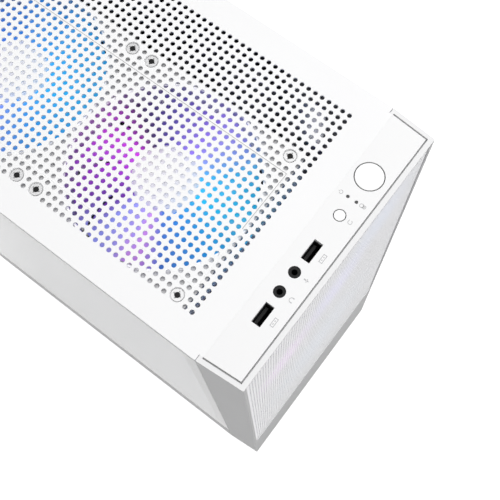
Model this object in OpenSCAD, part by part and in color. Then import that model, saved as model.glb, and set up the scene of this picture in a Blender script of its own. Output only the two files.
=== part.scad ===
// Desktop computer tower, micro-ATX size, in millimetres.
// Frame: +Z up, +X to the right as seen from the front, the front faces -Y.
// Origin: on the floor, under the middle of the overall box.

/* [Case] */
// Width over both side panels
case_w = 190; // [188:0.5:192]
// Depth from the front face to the rear panel
case_d = 350; // [348:1:360]
// Height from the floor to the top
case_h = 430; // [428:1:434]
// Height of the feet, pads included
foot_h = 12; // [10:0.5:13]
// Thickness of the sheet steel
steel = 1; // [0.8:0.1:1.1]
// Thickness of the glass side
glass_t = 4; // [3:0.5:4]

/* [Front] */
// Depth of the plastic front bezel
bezel_d = 31; // [31:0.5:33]
// Width across the bezel's front edge
bezel_front_w = 185.2; // [184:0.2:187]
// Height of the solid chin under the front mesh
chin_h = 97; // [90:1:100]
// How far the mesh sits behind the bezel's front face
mesh_recess = 1; // [0.8:0.1:1.2]

/* [Top] */
// Pitch of the square grid of vent holes
vent_pitch = 5; // [4.8:0.1:5.2]
// Diameter of a vent hole
vent_hole_d = 3; // [2.6:0.1:3.2]
// Columns of vent holes across the top
vent_columns = 31; // [29:2:31]
// Rows of vent holes along the top
vent_rows = 51; // [41:1:51]
// Width of the groove round the control strip
groove_w = 1; // [0.8:0.1:1.2]

/* [Controls] */
// Diameter of the power button
power_d = 17.2; // [16:0.1:17.4]
// Diameter of the reset button
reset_d = 6.6; // [6:0.1:6.8]
// Travel of the power button
power_travel = 2.4; // [1.5:0.1:2.4]
// Travel of the reset button
reset_travel = 1.2; // [0.8:0.1:1.6]

/* [Fans] */
// Side of a case fan's square frame
fan_size = 120; // [119:0.5:120]
// Thickness of a case fan
fan_depth = 25; // [24:0.5:25]
// Distance between a case fan's screw holes
fan_holes = 105; // [104:0.5:105]
// Blades on a case fan
fan_blades = 9; // [7:1:11]

/* [Hidden] */

fine = 48;          // sides of a round shape; the solids come out truly round
eps = 0.01;         // makes a cut run past a face
gap = 0.3;          // air between neighbouring pieces

// Outer planes of the case
x_side = case_w / 2;
thumb_head = 6;
y_front = -(case_d + thumb_head) / 2;
y_back = y_front + case_d;
z_top = case_h;
z_floor_plate = foot_h;
y_bezel_back = y_front + bezel_d;
y_panels = y_bezel_back + 0.4;
x_inner_left = -x_side + glass_t + steel + 0.5;
x_inner_right = x_side - steel - gap;
rail_h = 50;        // fixed steel rail under the glass
lip_h = 4.2;        // folded lip of the top panel
panel_top = z_top - lip_h - gap;

// Control strip
strip_back = y_bezel_back - 2.2;
strip_front = y_front + 4.2;
strip_t = 2.3;
deck_t = 2;
z_deck = z_top - strip_t - 0.2;
strip_y = y_front + 17.2;
power_x = 49.9;
reset_x = 20;
led_x = 32.3;
led_spread = 6;
usb_x = [-52.6, -6.9];
usb_opening = [13.8, 5.9];
jack_x = [-36.7, -22.7];
jack_y = strip_y + 0.5;
board_z = z_top - 20.6;
board_t = 1.6;

// Front mesh and its opening
mesh_top = z_top - 1.5;
mesh_bottom = foot_h + chin_h;
mesh_w = 179;
mesh_t = 1;
y_mesh = [y_front + mesh_recess, y_front + mesh_recess + mesh_t];
bezel_wall = 3;
filter_x = 84;
filter_z = [mesh_bottom + 4, z_deck - deck_t - 3];

// Top fans sit off centre, towards the glass
top_fan_x = -19.7;
top_fan_y = [y_front + 114.4, y_front + 234.4];
dimple_d = 9;
dimple_depth = 1.6;
dimple_floor = 0.6;
z_top_fan = z_top - steel - dimple_depth - fan_depth;
vent_y0 = y_front + 49.2;

// Front fans stand in the bezel, in front of the steel front plate
front_fan_z = [z_top - 82, z_top - 202.4];
y_front_fan = y_bezel_back - 0.5;
y_plate = y_bezel_back + 0.5;

// Rear fan and the motherboard
rear_fan = [-25.5, y_back - steel - 1, z_top - 85];
tray_x = x_side - 11;
standoff_h = 6;
pcb_t = 1.6;
pcb_x = tray_x - standoff_h - pcb_t;
pcb_size = 244;
pcb_y1 = y_back - 2;
pcb_y0 = pcb_y1 - pcb_size;
pcb_z1 = z_top - 18;
pcb_z0 = pcb_z1 - pcb_size;
standoff_y = [pcb_y1 - 10, pcb_y1 - 165, pcb_y0 + 6];
standoff_z = [pcb_z0 + 6, pcb_z0 + 80, pcb_z1 - 6];
aperture_z = [pcb_z1 - 162, pcb_z1 - 3];
aperture_x = [pcb_x - 43.9, pcb_x + 0.6];
slot_pitch = 20.3;
slot_z = [for (i = [0:3]) pcb_z0 + 12.5 + i * slot_pitch];
slot_x = [-34, 66];
cpu = [pcb_y1 - 103, pcb_z1 - 75];
dimm_y = [for (i = [0:3]) cpu[0] - 50 - i * 9.5];
dimm_len = 133;
dimm_z = cpu[1] - 6;
// Each rear port: height on the board's edge, width, rise off the board, openings in it
ports = [[pcb_z1 - 149, 16, 30, 2], [pcb_z1 - 128, 16, 16, 1], [pcb_z1 - 106, 17, 30, 2],
    [pcb_z1 - 83, 17, 16, 1], [pcb_z1 - 60, 16, 30, 2]];
port_jacks_z = pcb_z1 - 30;

// Graphics card hangs from the top slot
card_z = slot_z[3];
card_x = [-40, 66];
card_y = [y_back - 2.2 - 230, y_back - 2.2];
card_fan_y = [card_y[1] - 60, card_y[0] + 56];
card_fan_x = 9;
card_fan_r = 42;
cooler_z = [card_z - 38, card_z - 0.8];

// Power supply
psu_w = 150;
psu_h = 86;
psu_d = 140;
psu_z = foot_h + steel + 1;
psu_y1 = y_back - steel;
psu_y0 = psu_y1 - psu_d;
psu_fan = [0, psu_y0 + 70];
psu_fan_z = psu_z + steel + 0.2 + fan_depth;
shroud_z = psu_z + psu_h + 8;
inlet = [46, psu_z + 59];
rocker = [46, psu_z + 37.2];
rocker_tilt = 8;

// Thumbscrews of the side panels
thumb_z = [90, z_top - 14];
thumb_x = [-x_side + 8.5, x_side - 7];
flange_w = 13;

// Routes of the two cables that the case holds inside
power_route = [[58, psu_y0 + 4, 72], [58, psu_y0 - 12, 73], [60, psu_y0 - 28, 82],
    [63, psu_y0 - 48, 93], [66, psu_y0 - 76, 95], [67, psu_y0 - 97, 95.5],
    [67, psu_y0 - 110, 99], [67, psu_y0 - 119, 109], [67, psu_y0 - 122, 126],
    [67, psu_y0 - 122, 170], [67, psu_y0 - 122, 230], [59, psu_y0 - 123, 266],
    [43, psu_y0 - 123, 290], [31, psu_y0 - 118, 303], [26, psu_y0 - 109, 309],
    [33, psu_y0 - 100, 310], [47, psu_y0 - 98, 309], [64.3, psu_y0 - 98, 309]];
front_route = [[70, y_front + 20, board_z - 2.7], [71, y_front + 20, board_z - 14],
    [74, y_front + 20, board_z - 34], [75, y_front + 20, 330], [75, y_front + 20, 240],
    [75, y_front + 21, 208], [75, y_front + 27, 191], [76, y_front + 40, 186],
    [79, y_front + 60, 185], [79, y_front + 83, 184], [75.5, y_front + 95.6, 183.6],
    [73.4, y_front + 104.3, 183.5]];

// ---------- shared shapes ----------

module box(x, y, z) {
    translate([x[0], y[0], z[0]]) cube([x[1] - x[0], y[1] - y[0], z[1] - z[0]]);
}

// A flat outline with round corners, made of true arcs
module round_rect(w, d, r) {
    square([w - 2 * r, d], center = true);
    square([w, d - 2 * r], center = true);
    for (i = [-1, 1], j = [-1, 1])
        translate([i * (w / 2 - r), j * (d / 2 - r)]) circle(r = r, $fn = fine);
}

// A rod along X, Y or Z
module rod_x(r, l) { rotate([0, 90, 0]) cylinder(r = r, h = l, $fn = fine); }
module rod_y(r, l) { rotate([-90, 0, 0]) cylinder(r = r, h = l, $fn = fine); }

// A machine screw with its head under z = 0 and its shank pointing down
module machine_screw(head_r, head_h, shank_r, shank_l) {
    difference() {
        translate([0, 0, -head_h]) cylinder(r = head_r, h = head_h, $fn = fine);
        translate([-head_r * 0.7, -0.4, -head_h * 0.6]) cube([head_r * 1.4, 0.8, head_h]);
        translate([-0.4, -head_r * 0.7, -head_h * 0.6]) cube([0.8, head_r * 1.4, head_h]);
    }
    translate([0, 0, -head_h - shank_l]) cylinder(r = shank_r, h = shank_l + eps, $fn = fine);
}

// A thumbscrew whose head faces +Y; the panel's flange lies behind the head at y = 0
module thumbscrew() {
    head_r = 4.5;
    difference() {
        rod_y(head_r, thumb_head - steel - 0.4);
        for (a = [0:30:330])
            rotate([0, a, 0]) translate([head_r, -eps, 0]) rod_y(0.7, thumb_head);
    }
    translate([0, -9, 0]) rod_y(1.6, 9 + eps);
}

// Honeycomb of six-sided openings inside a w by h rectangle or, with round, a circle
module honeycomb(w, h, pitch, opening, depth, round = false) {
    row = pitch * sqrt(3) / 2;
    columns = floor(w / pitch / 2);
    rows = floor(h / row / 2);
    for (j = [-rows:rows], i = [-columns:columns]) {
        x = i * pitch + (j % 2 == 0 ? 0 : pitch / 2);
        y = j * row;
        inside = round ? norm([x, y]) < w / 2 - opening / 2 : abs(x) < w / 2 - opening / 2;
        if (inside)
            translate([x, y, 0]) rotate([0, 0, 30]) cylinder(d = opening, h = depth, $fn = 6);
    }
}

// Sweeps a round tube along a route
function unit(v) = v / norm(v);
function tangent(p, i) = unit(p[min(i + 1, len(p) - 1)] - p[max(i - 1, 0)]);
function side_of(t) = unit(cross(t, abs(t[1]) < 0.9 ? [0, 1, 0] : [1, 0, 0]));
function ring(p, i, r, n) = let (t = tangent(p, i), u = side_of(t), v = cross(t, u))
    [for (k = [0:n - 1]) p[i] + r * (cos(360 * k / n) * u + sin(360 * k / n) * v)];
function mid_spline(a, b, c, d, s) = 0.5 * ((2 * b) + (c - a) * s
    + (2 * a - 5 * b + 4 * c - d) * s * s + (3 * b - a - 3 * c + d) * s * s * s);
function smooth(p, n) = concat([for (i = [0:len(p) - 2], k = [0:n - 1])
    mid_spline(p[max(i - 1, 0)], p[i], p[i + 1], p[min(i + 2, len(p) - 1)], k / n)],
    [p[len(p) - 1]]);
module tube(route, r, steps, n = 8) {
    p = smooth(route, steps);
    m = len(p);
    points = [for (i = [0:m - 1]) each ring(p, i, r, n)];
    walls = [for (i = [0:m - 2], k = [0:n - 1]) let (a = i * n + k, b = i * n + (k + 1) % n)
        [a, b, b + n, a + n]];
    ends = [[for (k = [n - 1:-1:0]) k], [for (k = [0:n - 1]) (m - 1) * n + k]];
    polyhedron(points, concat(walls, ends));
}

// ---------- fans ----------

hub_r = 20.5;       // rotor hub of a case fan
bore_r = 58;        // air duct of a case fan
bearing_r = 5;
shaft_r = 1.6;
shaft_clear = 0.05;
rotor_z = [4.5, 22];

// Square frame with its duct, four struts and the bearing tube; struts at z = 0
module fan_frame() {
    flange = 4;
    difference() {
        union() {
            for (z = [0, fan_depth - flange])
                translate([0, 0, z]) linear_extrude(flange) round_rect(fan_size, fan_size, 5);
            cylinder(r = bore_r + 1.6, h = fan_depth, $fn = 96);
        }
        translate([0, 0, -1]) cylinder(r = bore_r, h = fan_depth + 2, $fn = 96);
        for (i = [-1, 1], j = [-1, 1])
            translate([i * fan_holes / 2, j * fan_holes / 2, -1])
                cylinder(r = 2.2, h = fan_depth + 2, $fn = fine);
    }
    difference() {
        union() {
            cylinder(r = hub_r - 1.5, h = 3, $fn = fine);
            cylinder(r = bearing_r, h = 15, $fn = fine);
            for (a = [0:90:270])
                rotate([0, 0, a + 20]) translate([hub_r - 3, -2.5, 0])
                    cube([bore_r - hub_r + 3.6, 5, 3]);
        }
        translate([0, 0, 1]) cylinder(r = shaft_r + shaft_clear, h = 20, $fn = fine);
    }
}

// Hub cup with a shaft, and pitched blades
module rotor(tip_r, hub, z, blades, chord, pitch) {
    mid = (z[0] + z[1]) / 2;
    difference() {
        translate([0, 0, z[0]]) cylinder(r = hub, h = z[1] - z[0], $fn = fine);
        translate([0, 0, z[0] - 1]) cylinder(r = hub - 2, h = z[1] - z[0] - 1, $fn = fine);
    }
    translate([0, 0, 2]) cylinder(r = shaft_r, h = z[1] - 2.5, $fn = fine);
    for (i = [0:blades - 1])
        rotate([0, 0, i * 360 / blades]) translate([hub - 1, 0, mid]) rotate([pitch, 0, 0])
            translate([0, -chord / 2, -0.8]) cube([tip_r - hub + 1, chord, 1.6]);
}

module case_rotor() { rotor(55.5, hub_r, rotor_z, fan_blades, 19, 35); }

module at_top_fan(i) { translate([top_fan_x, top_fan_y[i], z_top_fan]) children(); }
module at_front_fan(i) {
    translate([0, y_front_fan, front_fan_z[i]]) rotate([90, 0, 0]) children();
}
module at_rear_fan() { translate(rear_fan) rotate([90, 0, 0]) children(); }
module at_cpu_fan() {
    translate([fin_x[0] + 60, fin_y[0] - 0.4, cpu[1]]) rotate([90, 0, 0]) children();
}
module at_psu_fan() { translate([psu_fan[0], psu_fan[1], psu_fan_z]) rotate([180, 0, 0]) children(); }

module top_fan_front_frame() { color("white") at_top_fan(0) fan_frame(); }
module top_fan_rear_frame() { color("white") at_top_fan(1) fan_frame(); }
module front_fan_upper_frame() { color("white") at_front_fan(0) fan_frame(); }
module front_fan_lower_frame() { color("white") at_front_fan(1) fan_frame(); }
module rear_fan_frame() { color("white") at_rear_fan() fan_frame(); }
module cpu_fan_frame() { color("dimgray") at_cpu_fan() fan_frame(); }
module psu_fan_frame() { color("dimgray") at_psu_fan() fan_frame(); }
module top_fan_front_rotor() { color("plum") at_top_fan(0) case_rotor(); }
module top_fan_rear_rotor() { color("skyblue") at_top_fan(1) case_rotor(); }
module front_fan_upper_rotor() { color("plum") at_front_fan(0) case_rotor(); }
module front_fan_lower_rotor() { color("skyblue") at_front_fan(1) case_rotor(); }
module rear_fan_rotor() { color("plum") at_rear_fan() case_rotor(); }
module cpu_fan_rotor() { color("gray") at_cpu_fan() case_rotor(); }
module psu_fan_rotor() { color("gray") at_psu_fan() case_rotor(); }

// ---------- sheet steel ----------

// Floor plate with folded rims, the rail under the glass and the filter's guides
module chassis_base() {
    x = [-x_side, x_inner_right];
    y = [y_panels, y_back - steel - 0.1];
    color("white") difference() {
        union() {
            box(x, y, [z_floor_plate, z_floor_plate + steel]);
            box([-x_side, -x_side + steel], y, [z_floor_plate, z_floor_plate + rail_h]);
            box([x[1] - steel, x[1]], [y_plate + steel + 0.2, y[1]],
                [z_floor_plate, z_floor_plate + 14]);
            for (s = [-1, 1])
                box([s * 62 - 0.6, s * 62 + 0.6], [psu_y0 - 2, psu_y1 - 4],
                    [z_floor_plate - 3.6, z_floor_plate + eps]);
        }
        translate([psu_fan[0], psu_fan[1], z_floor_plate - 1])
            cylinder(r = bore_r, h = steel + 2, $fn = 96);
        for (i = [0:11])
            translate([-60 + i * 10, -120, z_floor_plate - 1]) cube([5, 90, steel + 2]);
    }
}

// Flat plate behind the front fans
module front_plate() {
    color("white") difference() {
        box([x_inner_left, x_inner_right], [y_plate, y_plate + steel],
            [z_floor_plate + steel, z_deck - deck_t - 1]);
        for (z = front_fan_z) {
            translate([0, y_plate - 1, z]) rod_y(bore_r - 1, steel + 2);
            for (i = [-1, 1], j = [-1, 1])
                translate([i * fan_holes / 2, y_plate - 1, z + j * fan_holes / 2])
                    rod_y(2.2, steel + 2);
        }
        box([66, 84], [y_plate - 1, y_plate + steel + 1], [172, 196]);
        for (i = [0:4])
            box([-60 + i * 26, -44 + i * 26], [y_plate - 1, y_plate + steel + 1], [34, 96]);
    }
}

// The perforated top: holes stand on a square grid, left out round the fan screws
fan_screw_xy = [for (y = top_fan_y, i = [-1, 1], j = [-1, 1])
    [top_fan_x + i * fan_holes / 2, y + j * fan_holes / 2]];
function near_screw(p) = min([for (s = fan_screw_xy) norm(p - s)]) < dimple_d / 2 + 2;
vent_points = [for (i = [0:vent_columns - 1], j = [0:vent_rows - 1])
    let (p = [(i - (vent_columns - 1) / 2) * vent_pitch, vent_y0 + j * vent_pitch])
    if (!near_screw(p)) p];

module top_outline() {
    notch = x_side - 4;
    difference() {
        translate([-x_side, strip_back + 0.2]) square([case_w, y_back - strip_back - 0.2]);
        for (s = [-1, 1])
            translate([s * (notch + 5) - 5, strip_back]) square([10, y_panels - strip_back]);
    }
}

module top_panel() {
    y = [y_panels, y_back];
    z_lip = z_top - lip_h;
    color("white") {
        translate([0, 0, z_top - steel]) linear_extrude(steel) difference() {
            top_outline();
            for (p = vent_points) translate(p) circle(d = vent_hole_d, $fn = 24);
            for (p = fan_screw_xy) translate(p) circle(d = dimple_d, $fn = fine);
        }
        for (s = [-1, 1])
            box([s * (x_side - steel / 2) - steel / 2, s * (x_side - steel / 2) + steel / 2],
                y, [z_lip, z_top - steel + eps]);
        box([-x_side + steel, x_side - steel], [y_back - steel, y_back], [z_lip, z_top - steel + eps]);
        for (p = fan_screw_xy) translate([p[0], p[1], z_top - steel - dimple_depth])
            difference() {
                cylinder(d = dimple_d + 1.2, h = steel + dimple_depth - 0.4, $fn = fine);
                translate([0, 0, dimple_floor]) cylinder(d = dimple_d - 0.4, h = 4, $fn = fine);
                translate([0, 0, -1]) cylinder(d = 4.4, h = 4, $fn = fine);
            }
    }
}

module rear_panel() {
    y = [y_back - steel, y_back];
    color("white") difference() {
        box([x_inner_left, x_inner_right], y, [z_floor_plate, z_top - lip_h - 0.2]);
        box(aperture_x, [y[0] - 1, y[1] + 1], aperture_z);
        for (z = slot_z) box(slot_x, [y[0] - 1, y[1] + 1], [z - 11, z + 2]);
        box([-72, 72], [y[0] - 1, y[1] + 1], [psu_z + 4, psu_z + psu_h - 4]);
        for (p = [[-69, 6], [69, 6], [-69, psu_h - 6], [45, psu_h - 6]])
            translate([p[0], y[0] - 1, psu_z + p[1]]) rod_y(1.9, steel + 2);
        translate([rear_fan[0], y[1] + 1, rear_fan[2]]) rotate([90, 0, 0])
            honeycomb(bore_r * 2, bore_r * 2, 9, 8, steel + 2, round = true);
        for (i = [-1, 1], j = [-1, 1])
            translate([rear_fan[0] + i * fan_holes / 2, y[0] - 1, rear_fan[2] + j * fan_holes / 2])
                rod_y(2.2, steel + 2);
        translate([-62, y[1] + 1, (slot_z[0] + slot_z[3]) / 2]) rotate([90, 0, 0])
            honeycomb(36, 80, 9, 8, steel + 2);
        for (x = thumb_x, z = thumb_z) translate([x, y[0] - 1, z]) rod_y(1.9, steel + 2);
    }
}

module motherboard_tray() {
    x = [tray_x, tray_x + steel];
    color("white") difference() {
        box(x, [y_plate + steel + 0.2, y_back - steel - 0.2],
            [shroud_z + steel + 0.2, panel_top]);
        box([x[0] - 1, x[1] + 1], [pcb_y0 - 34, pcb_y0 - 12], [pcb_z0 + 10, pcb_z0 + 90]);
        box([x[0] - 1, x[1] + 1], [pcb_y0 - 34, pcb_y0 - 12], [pcb_z0 + 150, pcb_z0 + 230]);
        box([x[0] - 1, x[1] + 1], [cpu[0] - 45, cpu[0] + 45], [cpu[1] - 50, cpu[1] + 45]);
        for (y = standoff_y, z = standoff_z) translate([x[0] - 1, y, z]) rod_x(1.7, steel + 2);
    }
}

// Cover over the power supply, with a slot for the main power cable
module psu_shroud() {
    x = [x_inner_left, x_inner_right - steel - gap];
    y = [y_plate + steel + 0.2, y_back - steel - 0.2];
    z = [shroud_z, shroud_z + steel];
    color("white") difference() {
        union() {
            box(x, y, z);
            box([x[0], x[0] + steel], y, [z_floor_plate + steel + 0.2, z[1]]);
        }
        box([52, 80], [psu_y0 - 134, psu_y0 - 106], [z[0] - 1, z[1] + 1]);
        for (i = [0:15]) translate([-66, psu_y0 + 6 + i * 8, z[0] - 1]) cube([60, 4, steel + 2]);
    }
}

drive_x = [-74, 73];
drive_y = [y_panels + 32, y_panels + 133.6];
drive_z = z_floor_plate + steel + 7;

module drive_cage() {
    y = [drive_y[0] - 2.4, drive_y[1] + 2.4];
    z = [z_floor_plate + steel, z_floor_plate + steel + 70];
    color("white") difference() {
        union() {
            for (side = [0, 1])
                box(drive_x, [y[side] - side * steel, y[side] - side * steel + steel], z);
            box(drive_x, y, [z[1] - steel, z[1]]);
            for (h = [drive_z - 1.2, drive_z + 30], side = [0, 1])
                box(drive_x, [y[side] - side * 8, y[side] - side * 8 + 8], [h, h + 1]);
        }
        for (i = [0:5], side = [0, 1])
            box([-62 + i * 22, -48 + i * 22], [y[side] - 3, y[side] + 3], [z[0] + 12, z[0] + 28]);
    }
}

// ---------- drives ----------

module hard_drive() {
    color("silver") {
        box(drive_x, drive_y, [drive_z, drive_z + 20]);
        box([drive_x[0] + 3, drive_x[1] - 3], [drive_y[0] + 3, drive_y[1] - 3],
            [drive_z + 20 - eps, drive_z + 24]);
        translate([drive_x[0] + 52, (drive_y[0] + drive_y[1]) / 2, drive_z + 24 - eps])
            cylinder(r = 44, h = 1.6, $fn = 96);
    }
}

module solid_state_drive() {
    color("dimgray") difference() {
        box([-62, 8], [drive_y[0], drive_y[0] + 100], [shroud_z + steel + 0.1, shroud_z + steel + 7]);
        box([-52, -2], [drive_y[0] + 12, drive_y[0] + 88], [shroud_z + steel + 6.6, shroud_z + 20]);
    }
}

// ---------- side panels ----------

flange_y = [y_back + 0.2, y_back + 0.2 + steel];

// Steel sheet with a rear flange; it slides back to come off
module right_side_panel() {
    color("white") difference() {
        union() {
            box([x_side - steel, x_side], [y_panels, flange_y[1]],
                [z_floor_plate, panel_top]);
            box([x_side - flange_w, x_side], flange_y, [z_floor_plate + 4, panel_top - 4]);
        }
        for (z = thumb_z) translate([thumb_x[1], flange_y[0] - 1, z]) rod_y(1.9, steel + 2);
    }
}

module right_thumbscrews() {
    color("silver") for (z = thumb_z) translate([thumb_x[1], flange_y[1] + 0.1, z]) thumbscrew();
}

glass_z = [z_floor_plate + rail_h + gap, panel_top];
glass_y = [y_panels, y_back - 0.2];

module glass_panel() {
    color("lightblue", 0.4) box([-x_side, -x_side + glass_t], glass_y, glass_z);
}

// Steel border bonded behind the glass, with the flange for the thumbscrews
module glass_frame() {
    border = 9;
    x = [-x_side + glass_t, -x_side + glass_t + steel];
    color("white") difference() {
        union() {
            difference() {
                box(x, [glass_y[0] + 1, flange_y[1]], [glass_z[0] + 0.5, glass_z[1] - 0.5]);
                box([x[0] - 1, x[1] + 1], [glass_y[0] + 1 + border, glass_y[1] - border],
                    [glass_z[0] + border, glass_z[1] - border]);
            }
            box([-x_side, -x_side + flange_w], flange_y, [glass_z[0] + 0.5, glass_z[1] - 0.5]);
        }
        for (z = thumb_z) translate([thumb_x[0], flange_y[0] - 1, z]) rod_y(1.9, steel + 2);
    }
}

module glass_thumbscrews() {
    color("silver") for (z = thumb_z) translate([thumb_x[0], flange_y[1] + 0.1, z]) thumbscrew();
}

// ---------- front ----------

// Plan outline of the bezel, narrower at the front; grow moves the sides in or out
module bezel_plan(grow = 0) {
    polygon([[-bezel_front_w / 2 - grow, y_front], [bezel_front_w / 2 + grow, y_front],
        [x_side + grow, y_bezel_back], [-x_side - grow, y_bezel_back]]);
}

// Plan outline of the control strip's plate, inset moves its edge inwards
module strip_plan(inset) {
    front = bezel_front_w / 2 - 3.5 - inset;
    back = x_side - 4.1 - inset;
    polygon([[-front, strip_front + inset], [front, strip_front + inset],
        [back, strip_back + eps], [-back, strip_back + eps]]);
}

// Openings of the controls; extra widens each one
module control_openings(extra) {
    translate([power_x, strip_y]) circle(d = power_d + 1.4 + 2 * extra, $fn = 64);
    translate([reset_x, strip_y]) circle(d = reset_d + 1.2 + 2 * extra, $fn = fine);
    for (s = [-1, 1])
        translate([led_x, strip_y + s * led_spread / 2]) circle(d = 2.2 + 2 * extra, $fn = fine);
    for (x = usb_x)
        translate([x, strip_y]) square([usb_opening[0] + 2 * extra, usb_opening[1] + 2 * extra],
            center = true);
    for (x = jack_x) translate([x, jack_y]) circle(d = 7.4 + 2 * extra, $fn = fine);
}

// Moulded shell: cheeks, chin and a deck that carries the control strip
module front_bezel() {
    color("white") difference() {
        translate([0, 0, foot_h]) linear_extrude(z_top - foot_h) bezel_plan();
        // hollow behind the front
        translate([0, bezel_wall, foot_h + bezel_wall])
            linear_extrude(z_deck - deck_t - foot_h - bezel_wall) bezel_hollow();
        // recess that the mesh lies in, and the way through for the filter behind it
        box([-mesh_w / 2 - 0.5, mesh_w / 2 + 0.5], [y_front - 1, y_mesh[1] + 0.2],
            [mesh_bottom, mesh_top]);
        box([-filter_x - 2, filter_x + 2], [y_front, y_front + bezel_wall + 1],
            [filter_z[0] - 0.5, filter_z[1] + 1]);
        // pocket for the control strip
        translate([0, 0, z_deck]) linear_extrude(z_top) strip_plan(-groove_w);
        translate([-x_side + 4, strip_back, z_deck]) cube([case_w - 8, 10, 10]);
        translate([0, 0, z_deck - deck_t - 1]) linear_extrude(deck_t + 2) control_openings(0.4);
    }
}

module bezel_hollow() {
    front = bezel_front_w / 2 - bezel_wall;
    back = x_side - bezel_wall;
    polygon([[-front, y_front], [front, y_front], [back, y_bezel_back], [-back, y_bezel_back]]);
}

// Plate with the controls, set in a narrow groove
module io_panel() {
    color("white") translate([0, 0, z_top - strip_t]) linear_extrude(strip_t) difference() {
        strip_plan(0);
        control_openings(0);
    }
}

// Perforated steel sheet of the front with a folded edge
module front_mesh() {
    z = [mesh_bottom + gap, mesh_top - gap];
    color("whitesmoke") box([-mesh_w / 2, mesh_w / 2], y_mesh, z);
}

// Frame with its dust net, clipped behind the mesh
module front_filter() {
    y = [y_mesh[1] + 0.1, y_mesh[1] + 2.1];
    z = filter_z;
    x = filter_x;
    color("lightgray") {
        difference() {
            box([-x, x], y, z);
            for (side = [-1, 1])
                box([min(side * 3, side * (x - 6)), max(side * 3, side * (x - 6))],
                    [y[0] - 1, y[1] + 1], [z[0] + 6, z[1] - 6]);
        }
        box([-x + 2, x - 2], [y[0] + 0.8, y[0] + 1.1], [z[0] + 2, z[1] - 2]);
    }
}

// ---------- controls ----------

// Cap with a flange that stays under the deck, and a stem over the switch
module button(d, flange_d, stem_d, stem_z) {
    translate([0, 0, z_deck - deck_t - 2.2]) cylinder(d = d, h = z_top - z_deck + deck_t + 2.2, $fn = 64);
    translate([0, 0, z_deck - deck_t - 2.4]) cylinder(d = flange_d, h = 2, $fn = 64);
    translate([0, 0, stem_z]) cylinder(d = stem_d, h = z_deck - deck_t - stem_z, $fn = fine);
}

switch_top = board_z + board_t + 3.5;

module power_button() {
    color("white") translate([power_x, strip_y, 0])
        button(power_d, power_d + 4, 6, switch_top + power_travel + 0.3);
}

module reset_button() {
    color("white") translate([reset_x, strip_y, 0])
        button(reset_d, reset_d + 3.4, 3, switch_top + reset_travel + 0.3);
}

// Circuit board under the strip, with the two switches and the cable header
module io_board() {
    color("darkgreen") {
        difference() {
            box([-66, 76], [strip_y - 9, strip_y + 9], [board_z, board_z + board_t]);
            for (x = [-63, 36]) translate([x, strip_y - 6, board_z - 1])
                cylinder(r = 1.6, h = board_t + 2, $fn = fine);
        }
        for (x = [power_x, reset_x]) {
            box([x - 3, x + 3], [strip_y - 3, strip_y + 3],
                [board_z + board_t - eps, switch_top - 1]);
            translate([x, strip_y, switch_top - 1 - eps]) cylinder(r = 1.6, h = 1, $fn = fine);
        }
        box([64, 75], [strip_y - 4, strip_y + 6], [board_z - 2.4, board_z + eps]);
    }
}

module led_light_pipes() {
    color("ghostwhite") for (s = [-1, 1])
        translate([led_x, strip_y + s * led_spread / 2, board_z + board_t]) {
            cylinder(r = 1, h = z_top - board_z - board_t - 0.2, $fn = fine);
            cylinder(r = 1.6, h = 3, $fn = fine);
        }
}

// Two sockets: an open shell each, with a contact tongue set back from the mouth
module usb_sockets() {
    z = [board_z + board_t, z_deck - deck_t - 0.1];
    w = usb_opening[0];
    d = usb_opening[1];
    color("dimgray") for (x = usb_x) translate([x, strip_y, 0]) {
        difference() {
            box([-w / 2 - 1, w / 2 + 1], [-d / 2 - 1, d / 2 + 1], z);
            box([-w / 2 + 0.2, w / 2 - 0.2], [-d / 2 + 0.2, d / 2 - 0.2], [z[0] + 2, z[1] + 1]);
        }
        box([-w / 2 + 1.4, w / 2 - 1.4], [0.3, 2.2], [z[0] + 2 - eps, z[1] - 1]);
    }
}

// Two sockets, each a square body with a round barrel up to the strip
module audio_jacks() {
    z = [board_z + board_t, z_deck - deck_t - 0.1];
    color("black") for (x = jack_x) translate([x, jack_y, 0]) difference() {
        union() {
            box([-5, 5], [-6, 6], z);
            translate([0, 0, z[1] - 1]) cylinder(d = 6.9, h = z_top - 0.4 - z[1] + 1, $fn = fine);
        }
        translate([0, 0, z[0] + 2]) cylinder(d = 3.6, h = 30, $fn = fine);
    }
}

// ---------- motherboard ----------

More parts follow.
